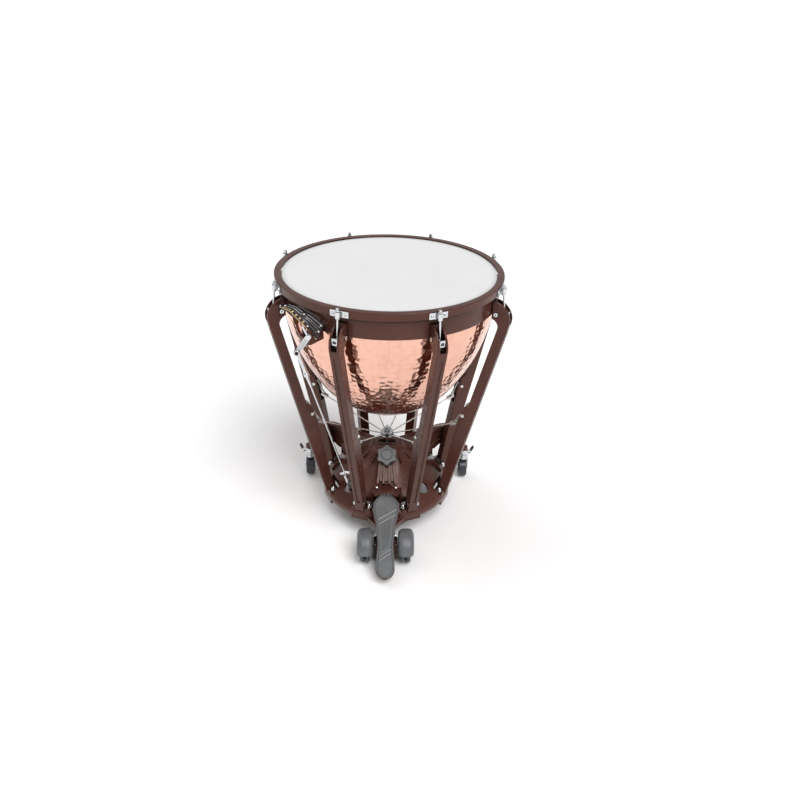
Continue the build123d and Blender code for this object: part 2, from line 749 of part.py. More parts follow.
def pedal_side(x):
    """Side plane of the pedal: local x runs along the sole to the toe, local y stands off it."""
    tilt = radians(PEDAL_TILT)
    origin = (x, AXIS_Y + PEDAL_PIVOT[0], PEDAL_PIVOT[1])
    return Plane(origin, x_dir=(0, cos(tilt), sin(tilt)), z_dir=(1, 0, 0))


with BuildPart() as pedal_frame:
    with BuildSketch(pedal_plane(PEDAL_HEIGHT[0])):
        add(sole_outline(0))
        make_face()
    extrude(amount=PEDAL_HEIGHT[1] - PEDAL_HEIGHT[0])
    for side in (-1, 1):
        with BuildSketch(pedal_side(side * LUG_X)):
            with Locations((0, 0), LINK_PIN):
                Circle(8)
            with Locations((-16, 8.5)):
                Rectangle(64, 1)
            make_hull()
            Circle(PIN_R + 0.06, mode=Mode.SUBTRACT)
        extrude(amount=2.5, both=True)
    with BuildSketch(pedal_side(0)):
        with Locations(LINK_PIN):
            Circle(PIN_R)
    extrude(amount=LUG_X, both=True)
pedal_frame.part.label = "pedal_frame"
export_step(pedal_frame.part, "parts/pedal_frame.step")

with BuildPart() as pedal_pad:
    with BuildSketch(pedal_plane(PEDAL_HEIGHT[1])):
        add(sole_outline(-1.5))
        make_face()
    extrude(amount=PEDAL_HEIGHT[2] - PEDAL_HEIGHT[1])
pedal_pad.part.label = "pedal_pad"
export_step(pedal_pad.part, "parts/pedal_pad.step")

with BuildPart() as transfer_lever:
    with BuildSketch(upright(0)):
        with BuildLine():
            Polyline(
                (LEVER_FRONT[0] - 17, LEVER_FRONT[1] - 10),
                (LEVER_PIVOT[0], LEVER_PIVOT[1] - 12),
                (10, LEVER_PIVOT[1] - 9),
                (10, LEVER_PIVOT[1] + 9),
                (LEVER_PIVOT[0], LEVER_PIVOT[1] + 12),
                (LEVER_FRONT[0] - 17, LEVER_FRONT[1] + 8),
                close=True,
            )
        lever_outline = make_face()
        fillet(lever_outline.vertices(), 8)
    extrude(amount=6, both=True)
    with BuildSketch(upright(0)):
        with Locations(LEVER_PIVOT):
            Circle(PIN_R + 0.06)
        with Locations(LEVER_FRONT):
            SlotOverall(23, 11, rotation=3.4)
        with Locations((0, LEVER_PIVOT[1])):
            SlotOverall(13, 10.5)
    extrude(amount=7, both=True, mode=Mode.SUBTRACT)
transfer_lever.part.label = "transfer_lever"
export_step(transfer_lever.part, "parts/transfer_lever.step")

with BuildPart() as pivot_pins:
    for place in (PEDAL_PIVOT, LEVER_PIVOT):
        with BuildSketch(upright(0)):
            with Locations(place):
                Circle(PIN_R)
        extrude(amount=33, both=True)
        for side in (-1, 1):
            with BuildSketch(upright(side * 30.5)):
                with Locations(place):
                    Circle(6.5)
            extrude(amount=side * 3.5, taper=12)
pivot_pins.part.label = "pivot_pins"
export_step(pivot_pins.part, "parts/pivot_pins.step")

# ------------------------------------------------------------------ tension knob and balance spring
SPRING_Y = -60.0
SPRING_Z = (79.0, 206.0)

with BuildPart() as tension_knob:
    knob_plane = facing(0, KNOB_AT[0], KNOB_AT[1], slope)
    with BuildSketch(knob_plane.offset(-4)):
        Circle(29)
        with PolarLocations(26, 6, start_angle=30):
            Circle(9)
    extrude(amount=20)
    fillet(tension_knob.faces().sort_by(Axis(knob_plane.origin, slope))[-1:].edges(), 2.5)
    with BuildSketch(knob_plane.offset(16)):
        Circle(19)
    extrude(amount=4, taper=35)
    with BuildSketch(knob_plane.offset(-4)):
        Circle(5)
    extrude(amount=-38)
tension_knob.part.label = "tension_knob"
export_step(tension_knob.part, "parts/tension_knob.step")

with BuildPart() as balance_spring:
    with BuildLine() as coil:
        Helix(pitch=13, height=SPRING_Z[1] - SPRING_Z[0] - 6, radius=12,
              center=(0, AXIS_Y + SPRING_Y, SPRING_Z[0] + 3))
    with BuildSketch(Plane(coil.line @ 0, z_dir=coil.line % 0)):
        Circle(2)
    sweep()
    for z in (SPRING_Z[0], SPRING_Z[1] - 5):
        with BuildSketch(level(z)):
            with Locations((0, SPRING_Y)):
                Circle(15)
        extrude(amount=5)
balance_spring.part.label = "balance_spring"
export_step(balance_spring.part, "parts/balance_spring.step")

# ------------------------------------------------------------------ tuning gauge
# angle, radius, height, half width and tilt of the rail's sections, from the strut to the bracket
GAUGE_SECTIONS = (
    (-153.0, 361.0, 817.0, 7.0, -30.0),
    (-146.0, 361.0, 834.0, 12.0, -22.0),
    (-138.5, 363.0, 841.0, 14.0, -19.0),
    (-128.0, 367.0, 827.0, 20.0, -31.0),
    (-121.0, 371.0, 806.0, 26.0, -42.0),
)
RAIL_T = 7.0
NOTE_T = 2.0
BRACKET_Z = 790.0

def rail_spot(start, end, share, out, lift):
    """Point between two sections of the rail: out from its middle line, lift above it."""
    ends = []
    for angle, r, z, half, tilt in (start, end):
        turn, slant = radians(angle), radians(tilt)
        along = out * half
        reach = r + along * cos(slant) - lift * sin(slant)
        ends.append(Vector(
            reach * cos(turn), AXIS_Y + reach * sin(turn), z + along * sin(slant) + lift * cos(slant)))
    return ends[0] + (ends[1] - ends[0]) * share


with BuildPart() as gauge_rail:
    for angle, r, z, half, tilt in GAUGE_SECTIONS:
        with BuildSketch(radial(angle)):
            with Locations(Location((r, z, 0), (0, 0, tilt))):
                Rectangle(2 * half, RAIL_T)
    loft(ruled=True)
gauge_rail.part.label = "gauge_rail"
export_step(gauge_rail.part, "parts/gauge_rail.step")

with BuildPart() as gauge_notes:
    for start, end in zip(GAUGE_SECTIONS[1:3], GAUGE_SECTIONS[2:4]):
        for share in (0.12, 0.37, 0.62, 0.87):
            # above the rail's face, near its lower edge
            spot = rail_spot(start, end, share, 0.68, RAIL_T / 2 + NOTE_T / 2 + 0.3)
            sideways = rail_spot(start, end, share, 0.9, RAIL_T / 2 + NOTE_T / 2 + 0.3) - spot
            along = rail_spot(start, end, 1, 0, 0) - rail_spot(start, end, 0, 0, 0)
            with BuildSketch(Plane(spot, x_dir=sideways, z_dir=along)):
                RectangleRounded(7, NOTE_T, 0.8)
            extrude(amount=2.2, both=True)
gauge_notes.part.label = "gauge_notes"
export_step(gauge_notes.part, "parts/gauge_notes.step")

with BuildPart() as gauge_bracket:
    with BuildSketch(level(BRACKET_Z)):
        with Locations((-193.5, -291.5), (GAUGE_PIVOT[0], -330), (-244, -298)):
            Circle(9)
        make_hull()
    extrude(amount=-14)
    with BuildSketch(level(BRACKET_Z)):
        with Locations((-193.5, -291.5), (GAUGE_PIVOT[0], -334)):
            Circle(8)
        make_hull()
    extrude(amount=12)
    with BuildSketch(level(BRACKET_Z)):
        with Locations((-240, -296)):
            Circle(6)
    extrude(amount=19)
    with BuildSketch(facing(GAUGE_PIVOT[0], -345, GAUGE_PIVOT[2], (0, 1, 0))):
        Circle(9)
    extrude(amount=30)
    with BuildSketch(facing(GAUGE_PIVOT[0], -350, GAUGE_PIVOT[2], (0, 1, 0))):
        Circle(4.06)
    extrude(amount=31, mode=Mode.SUBTRACT)
    add(gauge_rail.part, mode=Mode.SUBTRACT)
gauge_bracket.part.label = "gauge_bracket"
export_step(gauge_bracket.part, "parts/gauge_bracket.step")

lever_turn = degrees(atan2(GAUGE_TOP[2] - GAUGE_PIVOT[2], GAUGE_TOP[0] - GAUGE_PIVOT[0]))
LEVER_REACH = ((GAUGE_TOP[0] - GAUGE_PIVOT[0]) ** 2 + (GAUGE_TOP[2] - GAUGE_PIVOT[2]) ** 2) ** 0.5
LEVER_BACK_Y = -346.0
LEVER_T = 4.0


def lever_plane(y):
    """Plane facing the player at y, centred on the gauge lever's pivot, with x along the lever."""
    turn = radians(lever_turn)
    origin = (GAUGE_PIVOT[0], AXIS_Y + y, GAUGE_PIVOT[2])
    return Plane(origin, x_dir=(cos(turn), 0, sin(turn)), z_dir=(0, -1, 0))


with BuildPart() as gauge_lever:
    with BuildSketch(lever_plane(LEVER_BACK_Y)):
        with Locations((0, 0), (LEVER_REACH, 0)):
            Circle(7.5)
        make_hull()
    extrude(amount=LEVER_T)
    with BuildSketch(lever_plane(LEVER_BACK_Y - LEVER_T)):
        with GridLocations(4.4, 0, 9, 1):
            with Locations((LEVER_REACH / 2, 0)):
                Rectangle(2.2, 12)
    extrude(amount=1.2)
    with BuildSketch(lever_plane(LEVER_BACK_Y)):
        with Locations((LEVER_REACH, 0)):
            Circle(3.06)
    extrude(amount=LEVER_T + 1, mode=Mode.SUBTRACT)
    with BuildSketch(lever_plane(LEVER_BACK_Y + 18)):
        Circle(4)
    extrude(amount=20)
    with BuildSketch(lever_plane(LEVER_BACK_Y - LEVER_T)):
        Circle(6)
    extrude(amount=3)
    # pointer over the rail
    pointer_plane, reach = run3((-226, -349, 812), (-238, -349, 838), across=(0, 1, 0))
    with BuildSketch(pointer_plane):
        Rectangle(3, 5)
    extrude(amount=reach)
gauge_lever.part.label = "gauge_lever"
export_step(gauge_lever.part, "parts/gauge_lever.step")

with BuildPart() as gauge_rod:
    rod_plane, length = run3(GAUGE_TOP, GAUGE_LOW)
    # swivel block and its stub through the lever
    with BuildSketch(facing(GAUGE_TOP[0], LEVER_BACK_Y + 0.3, GAUGE_TOP[2], (0, 1, 0))):
        Circle(9)
    extrude(amount=14)
    with BuildSketch(facing(GAUGE_TOP[0], LEVER_BACK_Y - LEVER_T - 1, GAUGE_TOP[2], (0, 1, 0))):
        Circle(3)
    extrude(amount=8)
    # tube, collar, tapered sleeve, thin rod
    for start, reach, r, taper in ((0, 92, 6, 0), (88, 14, 8, 0), (100, 50, 5.5, 2.6), (140, 446, 2.6, 0)):
        with BuildSketch(rod_plane.offset(start)):
            Circle(r)
        extrude(amount=reach, taper=taper)
    # adjusting nut with wings, then the clevis round the eye of the draw rod's arm
    with BuildSketch(rod_plane.offset(length - 84)):
        RegularPolygon(6.5, 6)
        RectangleRounded(34, 4, 1.5)
    extrude(amount=9)
    with BuildSketch(rod_plane.offset(length - 76)):
        RectangleRounded(9, 20, 2)
    extrude(amount=84)
    with BuildSketch(rod_plane.offset(length - 60)):
        Rectangle(11, 12)
    extrude(amount=80, mode=Mode.SUBTRACT)
    with BuildSketch(facing(GAUGE_LOW[0], GAUGE_LOW[1], GAUGE_LOW[2], (0, 1, 0))):
        Circle(2)
    extrude(amount=9, both=True)
gauge_rod.part.label = "gauge_rod"
export_step(gauge_rod.part, "parts/gauge_rod.step")

# ------------------------------------------------------------------ front casters
AXLE_R = 6.0
HOOD_R = 57.0
HOOD_HALF = 26.0
FRONT_X, FRONT_Y = FRONT_CASTER

with BuildPart() as front_axles:
    for side in (-1, 1):
        with BuildSketch(upright(side * (ARM_HALF + 0.1))):
            with Locations((FRONT_Y, 44)):
                RectangleRounded(46, 62, 8)
        extrude(amount=side * (FRONT_X - HOOD_HALF - ARM_HALF - 1.1))
        with BuildSketch(upright(side * (ARM_HALF + 2))):
            with Locations((FRONT_Y, FRONT_WHEEL_R)):
                Circle(AXLE_R)
        extrude(amount=side * (FRONT_X + HOOD_HALF - ARM_HALF - 1))
front_axles.part.label = "front_axles"
export_step(front_axles.part, "parts/front_axles.step")

with BuildPart() as front_hoods:
    for side in (-1, 1):
        # crowned barrel turned about the axle, open below axle height
        with BuildSketch(Plane((side * FRONT_X, AXIS_Y + FRONT_Y, FRONT_WHEEL_R))) as barrel:
            with Locations((0, HOOD_R / 2)):
                Rectangle(2 * HOOD_HALF, HOOD_R)
            fillet(barrel.vertices().group_by(Axis.Y)[-1], 19)
            with Locations((0, AXLE_R / 2)):
                Rectangle(2 * HOOD_HALF, AXLE_R + 0.1, mode=Mode.SUBTRACT)
        revolve(axis=Axis((0, AXIS_Y + FRONT_Y, FRONT_WHEEL_R), (1, 0, 0)), revolution_arc=180)
        with BuildSketch(Plane((side * FRONT_X, AXIS_Y + FRONT_Y, FRONT_WHEEL_R))) as hollow:
            with Locations((0, (HOOD_R - 2.5) / 2)):
                Rectangle(2 * HOOD_HALF - 6, HOOD_R - 2.5)
            fillet(hollow.vertices().group_by(Axis.Y)[-1], 17)
        revolve(
            axis=Axis((0, AXIS_Y + FRONT_Y, FRONT_WHEEL_R), (1, 0, 0)), revolution_arc=180, mode=Mode.SUBTRACT
        )
front_hoods.part.label = "front_hoods"
export_step(front_hoods.part, "parts/front_hoods.step")

for side, name in ((-1, "front_wheels_left"), (1, "front_wheels_right")):
    with BuildPart() as front_wheels:
        with BuildSketch(upright(side * FRONT_X)):
            with Locations((FRONT_Y, FRONT_WHEEL_R)):
                Circle(16)
        extrude(amount=20, both=True)
        for offset in (-9.5, 9.5):
            with BuildSketch(upright(side * FRONT_X + offset)):
                with Locations((FRONT_Y, FRONT_WHEEL_R)):
                    Circle(FRONT_WHEEL_R)
            extrude(amount=5.5, both=True)
        fillet(front_wheels.edges().filter_by(GeomType.CIRCLE).filter_by(
            lambda edge: edge.radius > FRONT_WHEEL_R - 1), 4)
        with BuildSketch(upright(side * FRONT_X)):
            with Locations((FRONT_Y, FRONT_WHEEL_R)):
                Circle(AXLE_R + 0.06)
        extrude(amount=30, both=True, mode=Mode.SUBTRACT)
    front_wheels.part.label = name
    export_step(front_wheels.part, f"parts/{name}.step")

# ------------------------------------------------------------------ rear casters
STEM_R = 7.0
WHEEL_Y = REAR_STEM[1] + REAR_TRAIL
CROWN_Z = (87.0, 96.0)
BRAKE_PIVOT = (28.5, 95.0)      # outward from the wheel's middle, and height
BRAKE_Y = WHEEL_Y + 11

for side, name in ((-1, "left"), (1, "right")):
    middle = side * REAR_STEM[0]
    with BuildPart() as rear_fork:
        with BuildSketch(level(CROWN_Z[0])):
            with Locations((middle, REAR_STEM[1])):
                Circle(13)
            with Locations((middle, WHEEL_Y + 8)):
                Rectangle(41, 18)
            make_hull()
        extrude(amount=CROWN_Z[1] - CROWN_Z[0])
        for offset in (-19, 19):
            with BuildSketch(upright(middle + offset)):
                with Locations((WHEEL_Y, REAR_WHEEL_R)):
                    Circle(10)
                with Locations((WHEEL_Y + 8, CROWN_Z[0] + 2)):
                    Rectangle(18, 4)
                make_hull()
            extrude(amount=1.5, both=True)
        with BuildSketch(upright(middle)):
            with Locations((WHEEL_Y, REAR_WHEEL_R)):
                Circle(4)
        extrude(amount=23, both=True)
        with BuildSketch(level(CROWN_Z[1])):
            with Locations((middle, REAR_STEM[1])):
                Circle(12)
        extrude(amount=REAR_BOSS_Z - 0.6 - CROWN_Z[1])
        with BuildSketch(level(CROWN_Z[1])):
            with Locations((middle, REAR_STEM[1])):
                Circle(STEM_R)
        extrude(amount=34)
        # lug for the brake lever's pin
        with BuildSketch(facing(middle + side * BRAKE_PIVOT[0], BRAKE_Y, BRAKE_PIVOT[1], (0, 1, 0))):
            Circle(4.5)
            with Locations((-side * 5, -4)):
                Rectangle(10, 9)
        extrude(amount=-5)
        with BuildSketch(facing(middle + side * BRAKE_PIVOT[0], BRAKE_Y, BRAKE_PIVOT[1], (0, 1, 0))):
            Circle(2)
        extrude(amount=13)
    rear_fork.part.label = f"rear_fork_{name}"
    export_step(rear_fork.part, f"parts/rear_fork_{name}.step")

    with BuildPart() as rear_wheel:
        with BuildSketch(upright(middle)):
            with Locations((WHEEL_Y, REAR_WHEEL_R)):
                Circle(REAR_WHEEL_R)
        extrude(amount=15, both=True)
        fillet(rear_wheel.edges().filter_by(GeomType.CIRCLE), 5)
        for face in (-1, 1):
            with BuildSketch(upright(middle + face * 12)):
                with Locations((WHEEL_Y, REAR_WHEEL_R)):
                    Circle(24)
                    Circle(11, mode=Mode.SUBTRACT)
            extrude(amount=face * 4, mode=Mode.SUBTRACT)
        with BuildSketch(upright(middle)):
            with Locations((WHEEL_Y, REAR_WHEEL_R)):
                Circle(4.06)
        extrude(amount=20, both=True, mode=Mode.SUBTRACT)
    rear_wheel.part.label = f"rear_wheel_{name}"
    export_step(rear_wheel.part, f"parts/rear_wheel_{name}.step")

    with BuildPart() as brake_lever:
        with BuildSketch(facing(middle + side * BRAKE_PIVOT[0], BRAKE_Y + 0.4, BRAKE_PIVOT[1], (0, 1, 0))):
            with Locations((side * -3, 6), (side * 9, -17)):
                Circle(4)
            make_hull()
            Circle(2.06, mode=Mode.SUBTRACT)
        extrude(amount=8)
    brake_lever.part.label = f"brake_lever_{name}"
    export_step(brake_lever.part, f"parts/brake_lever_{name}.step")
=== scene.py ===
import json
from math import cos, pi, radians, sin, sqrt

import bmesh
import bpy
from mathutils import Matrix, Vector


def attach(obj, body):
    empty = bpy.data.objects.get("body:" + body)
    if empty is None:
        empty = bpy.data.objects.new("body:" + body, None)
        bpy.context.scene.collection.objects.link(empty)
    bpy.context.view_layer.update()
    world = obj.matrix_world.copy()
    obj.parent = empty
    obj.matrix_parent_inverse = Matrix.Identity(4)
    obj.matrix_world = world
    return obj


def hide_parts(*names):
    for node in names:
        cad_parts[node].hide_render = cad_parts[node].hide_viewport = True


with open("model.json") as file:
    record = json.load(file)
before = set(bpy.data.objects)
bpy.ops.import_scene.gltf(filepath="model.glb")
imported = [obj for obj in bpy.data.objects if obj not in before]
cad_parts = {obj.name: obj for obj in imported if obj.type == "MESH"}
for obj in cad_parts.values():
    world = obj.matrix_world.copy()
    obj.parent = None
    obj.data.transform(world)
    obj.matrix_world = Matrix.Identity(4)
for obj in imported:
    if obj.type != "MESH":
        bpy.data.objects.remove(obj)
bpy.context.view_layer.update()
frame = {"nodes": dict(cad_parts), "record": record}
nodes = frame["nodes"]

# ------------------------------------------------------------------ driving dimensions (m)
AXIS_Y = 0.043           # the kettle's axis
PEDAL_PIN = Vector((0, AXIS_Y - 0.306, 0.084))
PEDAL_TILT = radians(24)
SOLE_TOP = 0.016         # above the pedal's pin, square to the sole
PAD_THICK = 0.0038
REAR_STEM = (0.286, AXIS_Y + 0.159)
GAUGE_TOP = Vector((-0.256, AXIS_Y - 0.339, 0.757))
# the gauge rail's sections: angle round the kettle, radius, height, half width, tilt
RAIL = (
    (-153.0, 0.361, 0.817, 0.007, -30.0),
    (-146.0, 0.361, 0.834, 0.012, -22.0),
    (-138.5, 0.363, 0.841, 0.014, -19.0),
    (-128.0, 0.367, 0.827, 0.020, -31.0),
    (-121.0, 0.371, 0.806, 0.026, -42.0),
)


# ------------------------------------------------------------------ shader building
class Shader:
    """A material under construction: short calls for the nodes that every finish here is made of."""

    def __init__(self, name, color, metallic=0.0, roughness=0.4):
        self.material = bpy.data.materials.new(name)
        self.material.use_nodes = True
        self.tree = self.material.node_tree
        self.bsdf = self.tree.nodes["Principled BSDF"]
        self.bsdf.inputs["Base Color"].default_value = (*color, 1)
        self.bsdf.inputs["Metallic"].default_value = metallic
        self.bsdf.inputs["Roughness"].default_value = roughness
        self.coords = self.node("ShaderNodeTexCoord").outputs["Object"]

    def node(self, kind, **settings):
        made = self.tree.nodes.new(kind)
        for key, value in settings.items():
            setattr(made, key, value)
        return made

    def link(self, source, target):
        self.tree.links.new(source, target)

    def feed(self, socket, value):
        """Puts a number on a socket, or links an output to it."""
        if isinstance(value, (int, float)):
            socket.default_value = value
        elif isinstance(value, (tuple, list)):
            needs_alpha = len(value) == 3 and len(socket.default_value) == 4
            socket.default_value = (*value, 1) if needs_alpha else value
        else:
            self.link(value, socket)

    def math(self, operation, a, b=0.0, c=0.0, clamp=False):
        made = self.node("ShaderNodeMath", operation=operation, use_clamp=clamp)
        for socket, value in zip(made.inputs, (a, b, c)):
            self.feed(socket, value)
        return made.outputs[0]

    def noise(self, scale, detail=3.0, rough=0.55, vector=None):
        made = self.node("ShaderNodeTexNoise")
        made.inputs["Scale"].default_value = scale
        made.inputs["Detail"].default_value = detail
        made.inputs["Roughness"].default_value = rough
        self.link(vector or self.coords, made.inputs["Vector"])
        return made.outputs["Fac"]

    def ramp(self, value, low, high, out_low=0.0, out_high=1.0):
        made = self.node("ShaderNodeMapRange", interpolation_type="SMOOTHSTEP")
        for socket, number in zip(made.inputs, (value, low, high, out_low, out_high)):
            self.feed(socket, number)
        return made.outputs[0]

    def mix(self, share, a, b):
        made = self.node("ShaderNodeMix", data_type="RGBA")
        self.feed(made.inputs["Factor"], share)
        self.feed(made.inputs[6], a)
        self.feed(made.inputs[7], b)
        return made.outputs[2]

    def bump(self, height, distance, strength=1.0, normal=None):
        made = self.node("ShaderNodeBump")
        made.inputs["Distance"].default_value = distance
        made.inputs["Strength"].default_value = strength
        self.link(height, made.inputs["Height"])
        if normal is not None:
            self.link(normal, made.inputs["Normal"])
        return made.outputs["Normal"]

    def rounded(self, radius):
        """Normal with edges rounded by radius, and a mask that is 1 on those edges."""
        bevel = self.node("ShaderNodeBevel", samples=8)
        bevel.inputs["Radius"].default_value = radius
        geometry = self.node("ShaderNodeNewGeometry")
        dot = self.node("ShaderNodeVectorMath", operation="DOT_PRODUCT")
        self.link(bevel.outputs["Normal"], dot.inputs[0])
        self.link(geometry.outputs["Normal"], dot.inputs[1])
        return bevel.outputs["Normal"], self.ramp(dot.outputs["Value"], 0.995, 0.80)

    def recess(self, distance):
        """1 in corners and slots narrower than distance, 0 on open faces."""
        hidden = self.node("ShaderNodeAmbientOcclusion", samples=10)
        hidden.inputs["Distance"].default_value = distance
        return self.ramp(hidden.outputs["AO"], 0.85, 0.25)

    def axes(self, vector=None):
        made = self.node("ShaderNodeSeparateXYZ")
        self.link(vector or self.coords, made.inputs[0])
        return made.outputs

    def combine(self, x, y, z):
        made = self.node("ShaderNodeCombineXYZ")
        for socket, value in zip(made.inputs, (x, y, z)):
            self.feed(socket, value)
        return made.outputs[0]

    def set(self, name, value):
        self.feed(self.bsdf.inputs[name], value)
        return self


def powder_coat(name, color, worn, roughness=0.42, grain=0.00005):
    """Satin powder coat: orange peel, slow colour drift, lighter rubbed edges."""
    s = Shader(name, color, 0.0, roughness)
    normal, edge = s.rounded(0.0022)
    drift = s.ramp(s.noise(9, 4), 0.35, 0.7)
    dark = tuple(c * 0.82 for c in color)
    tone = s.mix(drift, dark, color)
    scuff = s.math("MULTIPLY", edge, s.ramp(s.noise(70, 3), 0.35, 0.6), clamp=True)
    # painted shade: the colour goes towards near black in corners, slots and recesses, where shade falls
    painted_shade = s.math("MULTIPLY", s.recess(0.035), 0.85)
    tone = s.mix(painted_shade, tone, tuple(c * 0.12 for c in color))
    s.set("Base Color", s.mix(s.math("MULTIPLY", scuff, 0.35), tone, worn))
    s.set("Roughness", s.math("ADD", s.ramp(s.noise(38, 5), 0.3, 0.75, -0.07, 0.08), roughness))
    s.set("Normal", s.bump(s.noise(900, 2), grain, 1.0, normal))
    s.bsdf.inputs["Specular IOR Level"].default_value = 0.42
    s.bsdf.inputs["Specular Tint"].default_value = (1.0, 0.78, 0.70, 1)
    return s.material


def plated(name, color, roughness=0.12, scratch=0.00001):
    """Bright plating with smudges and fine scratches."""
    s = Shader(name, color, 1.0, roughness)
    normal, edge = s.rounded(0.0006)
    smudge = s.ramp(s.noise(60, 4), 0.35, 0.75)
    tone = s.mix(s.math("MULTIPLY", smudge, 0.35), color, tuple(c * 0.72 for c in color))
    # painted shade: the plating's colour is darkened in corners and recesses, where shade falls
    s.set("Base Color", s.mix(s.math("MULTIPLY", s.recess(0.008), 0.8), tone, tuple(c * 0.15 for c in color)))
    s.set("Roughness", s.ramp(s.noise(45, 5), 0.3, 0.75, roughness * 0.6, roughness * 1.9))
    s.set("Normal", s.bump(s.noise(1400, 2), scratch, 0.6, normal))
    return s.material


def rubber(name, color, roughness=0.62, pit=0.00012, fine=700):
    """Moulded rubber or nylon: pitted skin, dusty drift, greyer edges."""
    s = Shader(name, color, 0.0, roughness)
    normal, edge = s.rounded(0.0010)
    dust = s.ramp(s.noise(25, 5), 0.35, 0.75)
    pale = tuple(min(1, c * 1.35 + 0.02) for c in color)
    tone = s.mix(s.math("MULTIPLY", dust, 0.45), color, pale)
    # painted shade: the colour is darkened in grooves and recesses, where shade falls
    tone = s.mix(s.math("MULTIPLY", s.recess(0.006), 0.8), tone, tuple(c * 0.25 for c in color))
    s.set("Base Color", s.mix(s.math("MULTIPLY", edge, 0.18), tone, pale))
    s.set("Roughness", s.ramp(s.noise(50, 4), 0.3, 0.7, roughness - 0.09, roughness + 0.08))
    s.set("Normal", s.bump(s.noise(fine, 3), pit, 0.8, normal))
    return s.material


def hammered_copper():
    """Polished copper with rows of hammer facets round the kettle."""
    s = Shader("hammered copper", (0.89, 0.53, 0.42), 1.0, 0.12)
    x, y, z = s.axes()[:3]
    turn = s.math("ARCTAN2", x, s.math("SUBTRACT", y, AXIS_Y))
    # coordinates that run round and down the wall, so that facets keep their size
    round_wall = s.math("MULTIPLY", turn, 0.27)
    facets = s.node("ShaderNodeTexVoronoi", feature="SMOOTH_F1", voronoi_dimensions="2D")
    facets.inputs["Scale"].default_value = 62
    facets.inputs["Smoothness"].default_value = 0.35
    facets.inputs["Randomness"].default_value = 0.65
    s.link(s.combine(round_wall, z, 0.0), facets.inputs["Vector"])
    height = s.math("POWER", facets.outputs["Distance"], 1.6)
    hammered = s.bump(height, 0.0015, 1.0)
    rings = s.ramp(s.noise(26, 2), 0.3, 0.7)
    s.set("Normal", s.bump(rings, 0.0012, 0.5, hammered))
    tarnish = s.ramp(s.noise(12, 4), 0.45, 0.8)
    # painted shade: the colour darkens towards each facet's edge, so the facets show; worn adds this to the
    # random tarnish
    facet_edge_shade = s.ramp(height, 0.10, 0.60, 0.0, 0.20)
    worn = s.math("ADD", s.math("MULTIPLY", tarnish, 0.25), facet_edge_shade, clamp=True)
    s.set("Base Color", s.mix(worn, (0.87, 0.51, 0.40), (0.62, 0.28, 0.19)))
    s.set("Roughness", s.ramp(s.noise(40, 4), 0.3, 0.75, 0.07, 0.2))
    return s.material


def drum_film():
    """Hazy film: cloudy coating, a faint ring of painted shade where it bends over the edge."""
    s = Shader("hazy film", (0.82, 0.82, 0.81), 0.0, 0.34)
    x, y, z = s.axes()[:3]
    radius = s.math("POWER", s.math("ADD", s.math("POWER", x, 2.0),
                                    s.math("POWER", s.math("SUBTRACT", y, AXIS_Y), 2.0)), 0.5)
    cloud = s.ramp(s.noise(5, 5, 0.6), 0.3, 0.75)
    film = s.mix(s.math("MULTIPLY", cloud, 0.5), (0.70, 0.70, 0.705), (0.75, 0.75, 0.755))
    # painted shade: a darker ring where the film bends over the edge
    rim = s.ramp(radius, 0.316, 0.330)
    s.set("Base Color", s.mix(s.math("MULTIPLY", rim, 0.6), film, (0.50, 0.50, 0.49)))
    s.set("Roughness", s.ramp(s.noise(160, 3), 0.3, 0.7, 0.28, 0.42))
    s.set("Normal", s.bump(s.noise(1500, 3), 0.00004, 0.6))
    return s.material


BROWN = (0.074, 0.024, 0.0175)
materials = {
    "brown_coat": powder_coat("brown powder coat", BROWN, (0.24, 0.12, 0.09), 0.24),
    "copper": hammered_copper(),
    "head_film": drum_film(),
    "chrome": plated("chrome", (0.70, 0.71, 0.73), 0.10),
    "rod_steel": plated("drawn steel", (0.62, 0.61, 0.59), 0.22, 0.00002),
    "black_coat": powder_coat("black enamel", (0.012, 0.012, 0.014), (0.16, 0.16, 0.17), 0.30),
    "note_brass": plated("brushed brass", (0.66, 0.50, 0.28), 0.22, 0.00002),
    "grey_rubber": rubber("pedal rubber", (0.105, 0.112, 0.117), 0.42),
    "grey_plastic": rubber("grey nylon", (0.092, 0.098, 0.105), 0.36, 0.00006, 1100),
    "tyre_rubber": rubber("caster tread", (0.022, 0.025, 0.032), 0.35, 0.00005, 900),
}
slots = {entry["node"]: entry["material_slot"] for entry in frame["record"]["subparts"]}
for name, obj in nodes.items():
    obj.data.materials.clear()
    obj.data.materials.append(materials[slots[name]])

# ------------------------------------------------------------------ pieces the CAD stands for only roughly
def piece(name, mesh, body, slot, stands_for=()):
    """Puts a mesh into the scene as a piece that rides on a CAD body."""
    for polygon in mesh.polygons:
        polygon.use_smooth = True
    obj = bpy.data.objects.new(name, mesh)
    obj.data.materials.append(materials[slot])
    bpy.context.scene.collection.objects.link(obj)
    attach(obj, body)
    if stands_for:
        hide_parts(*stands_for)
    return obj


def grid_mesh(name, rows, closed=False):
    """Surface through rows of points; closed joins each row's last point to its first."""
    mesh = bpy.data.meshes.new(name)
    width = len(rows[0])
    faces = []
    for i in range(len(rows) - 1):
        for j in range(width if closed else width - 1):
            k = (j + 1) % width
            faces.append((i * width + j, i * width + k, (i + 1) * width + k, (i + 1) * width + j))
    mesh.from_pydata([tuple(p) for row in rows for p in row], [], faces)
    mesh.update()
    return mesh


def turned(profile, place, axis, steps):
    """Rows of a turned shape: profile holds (radius, height) pairs along axis."""
    axis = Vector(axis).normalized()
    side = axis.orthogonal().normalized()
    other = axis.cross(side)
    rows = []
    for radius, height in profile:
        ring = []
        for j in range(steps):
            turn = 2 * pi * j / steps
            out = side * (radius * cos(turn)) + other * (radius * sin(turn))
            ring.append(Vector(place) + axis * height + out)
        rows.append(ring)
    return rows


